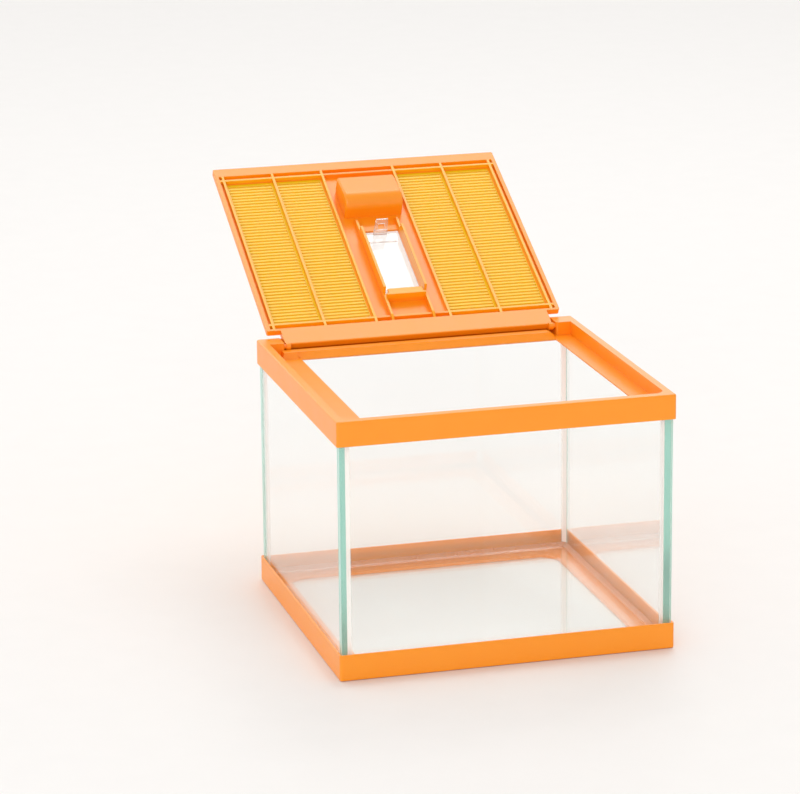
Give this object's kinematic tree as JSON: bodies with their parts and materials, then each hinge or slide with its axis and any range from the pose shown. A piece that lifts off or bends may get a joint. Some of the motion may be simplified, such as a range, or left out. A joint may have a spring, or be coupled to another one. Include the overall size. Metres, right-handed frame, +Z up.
{
  "type": "terrarium",
  "caption": "Small framed glass terrarium with a folding vented lid that holds a clear hinged feeding window.",
  "frame": {"origin": "centre of the footprint, on the flat underside of the base frame", "axes": "+Z up out of the tank, +Y to the back where the lid is hinged, +X to the right"},
  "size_m": [0.2, 0.3419, 0.2278],
  "materials": {
    "orange_plastic": "satin",
    "clear_glass": "polished",
    "silicone": "satin",
    "clear_plastic": "polished"
  },
  "bodies": {
    "tank": {"base_frame": "orange_plastic", "floor_pane": "clear_glass", "front_pane": "clear_glass", "back_pane": "clear_glass", "left_pane": "clear_glass", "right_pane": "clear_glass", "seam_front_left": "silicone", "seam_front_right": "silicone", "seam_back_left": "silicone", "seam_back_right": "silicone", "floor_seam": "silicone", "base_bond": "silicone", "rim_bond": "silicone", "rim_frame": "orange_plastic"},
    "lid": {"lid_frame": "orange_plastic"},
    "window": {"feed_window": "clear_plastic"}
  },
  "joints": [
    {"name": "lid_hinge", "type": "hinge", "parent": "tank", "child": "lid", "pos_m": [0, 0.0855, 0.14965], "axis": [1, 0, 0], "range_deg": [0, 153.8]},
    {"name": "window_hinge", "type": "hinge", "parent": "lid", "child": "window", "pos_m": [0, 0.12379, 0.1681], "axis": [-1, 0, 0], "range_deg": [0, 110]}
  ]
}
